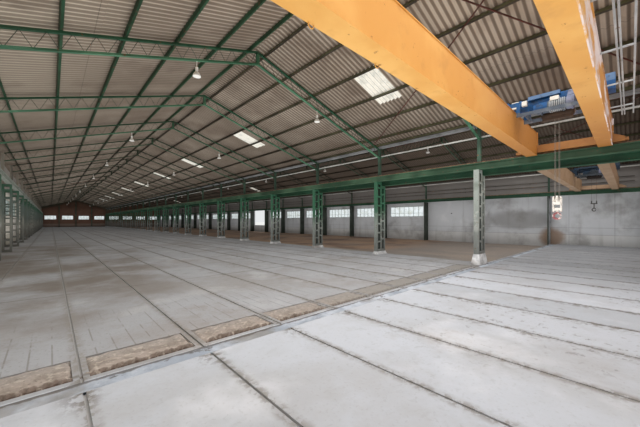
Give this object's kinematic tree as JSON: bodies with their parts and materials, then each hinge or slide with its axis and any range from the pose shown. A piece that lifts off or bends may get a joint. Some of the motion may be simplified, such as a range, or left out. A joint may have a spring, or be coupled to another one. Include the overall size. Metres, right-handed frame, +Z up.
{
  "type": "factory_building_scale_model_1_10",
  "caption": "Twin nave factory hall with gabled lattice roof frames, corrugated roofing, battened steel columns and overhead travelling cranes, a 1:10 scale model.",
  "frame": {"origin": "centre of the footprint on the ground plane", "axes": "+Y along the hall to the far end wall, +X across the hall to the second nave, +Z up"},
  "size_m": [3.194, 11.632, 0.848],
  "materials": {
    "slab_concrete": "worn cast concrete panels, pale grey with stains",
    "sand_floor": "packed sandy fill, ochre",
    "wall_render": "grey cement render, stained",
    "brickwork": "orange brown brick in mortar",
    "pane_glass": "dusty clear sheet",
    "column_paint": "green over pale grey green, chipped",
    "steel_green": "dark green enamel, dull",
    "rafter_green": "green enamel, dull",
    "purlin_steel": "dark green brown paint",
    "rail_steel": "worn running face",
    "fibre_cement": "corrugated fibre cement, weathered",
    "rooflight_sheet": "translucent white corrugated sheet",
    "zinc_sheet": "galvanised grey",
    "pipe_steel": "light grey paint",
    "lamp_enamel": "white enamel shades",
    "crane_orange": "orange yellow enamel",
    "crane_grey": "light grey paint",
    "hoist_blue": "blue enamel with grey motors",
    "rope_steel": "greased wire",
    "hook_white": "cream enamel, hook red and white",
    "hook_dark": "dark bare steel"
  },
  "bodies": {
    "hall": {"main_floor": "slab_concrete", "side_floor": "sand_floor", "left_wall": "wall_render", "left_window_glass": "pane_glass", "right_wall_front": "wall_render", "right_wall_back": "wall_render", "open_bay_surround": "wall_render", "right_window_glass": "pane_glass", "far_wall_left": "brickwork", "far_wall_right": "brickwork", "near_wall_left": "brickwork", "near_wall_right": "brickwork", "end_window_glass": "pane_glass", "left_columns": "column_paint", "middle_columns": "column_paint", "column_plinths": "slab_concrete", "right_wall_posts": "steel_green", "end_wall_posts": "steel_green", "roof_posts": "steel_green", "runway_beams": "steel_green", "crane_rails": "rail_steel", "main_rafters_left": "rafter_green", "main_rafters_right": "rafter_green", "side_rafters_left": "rafter_green", "side_rafters_right": "rafter_green", "purlins": "purlin_steel", "main_roof_left": "fibre_cement", "main_roof_right": "fibre_cement", "side_roof_left": "fibre_cement", "side_roof_right": "fibre_cement", "rooflights": "rooflight_sheet", "ridge_caps": "fibre_cement", "valley_gutter": "zinc_sheet", "service_pipes": "pipe_steel", "pendant_lamps": "lamp_enamel"},
    "crane_1_bridge": {"crane_1_girders": "crane_orange", "crane_1_end_trucks": "crane_orange", "crane_1_cable_rail": "crane_grey"},
    "crane_1_trolley_body": {"crane_1_trolley": "hoist_blue"},
    "crane_1_hook": {"crane_1_ropes": "rope_steel", "crane_1_hook_block": "hook_white"},
    "crane_2_bridge": {"crane_2_girders": "crane_orange", "crane_2_end_trucks": "crane_orange"},
    "crane_2_trolley_body": {"crane_2_trolley": "hoist_blue"},
    "crane_2_hook": {"crane_2_ropes": "rope_steel", "crane_2_hook_block": "hook_dark"}
  },
  "joints": [
    {"name": "crane_1_travel", "type": "slide", "parent": "hall", "child": "crane_1_bridge", "axis": [0, 1, 0], "range_m": [0, 11.1]},
    {"name": "crane_1_cross_travel", "type": "slide", "parent": "crane_1_bridge", "child": "crane_1_trolley_body", "axis": [1, 0, 0], "range_m": [-1.045, 0.15]},
    {"name": "crane_1_hoist", "type": "slide", "parent": "crane_1_trolley_body", "child": "crane_1_hook", "axis": [0, 0, 1], "range_m": [-0.175, 0.18], "deforming": ["crane_1_ropes"]},
    {"name": "crane_2_travel", "type": "slide", "parent": "hall", "child": "crane_2_bridge", "axis": [0, 1, 0], "range_m": [0, 11.1]},
    {"name": "crane_2_cross_travel", "type": "slide", "parent": "crane_2_bridge", "child": "crane_2_trolley_body", "axis": [1, 0, 0], "range_m": [-0.945, 0.275]},
    {"name": "crane_2_hoist", "type": "slide", "parent": "crane_2_trolley_body", "child": "crane_2_hook", "axis": [0, 0, 1], "range_m": [-0.225, 0.11], "deforming": ["crane_2_ropes"]}
  ]
}
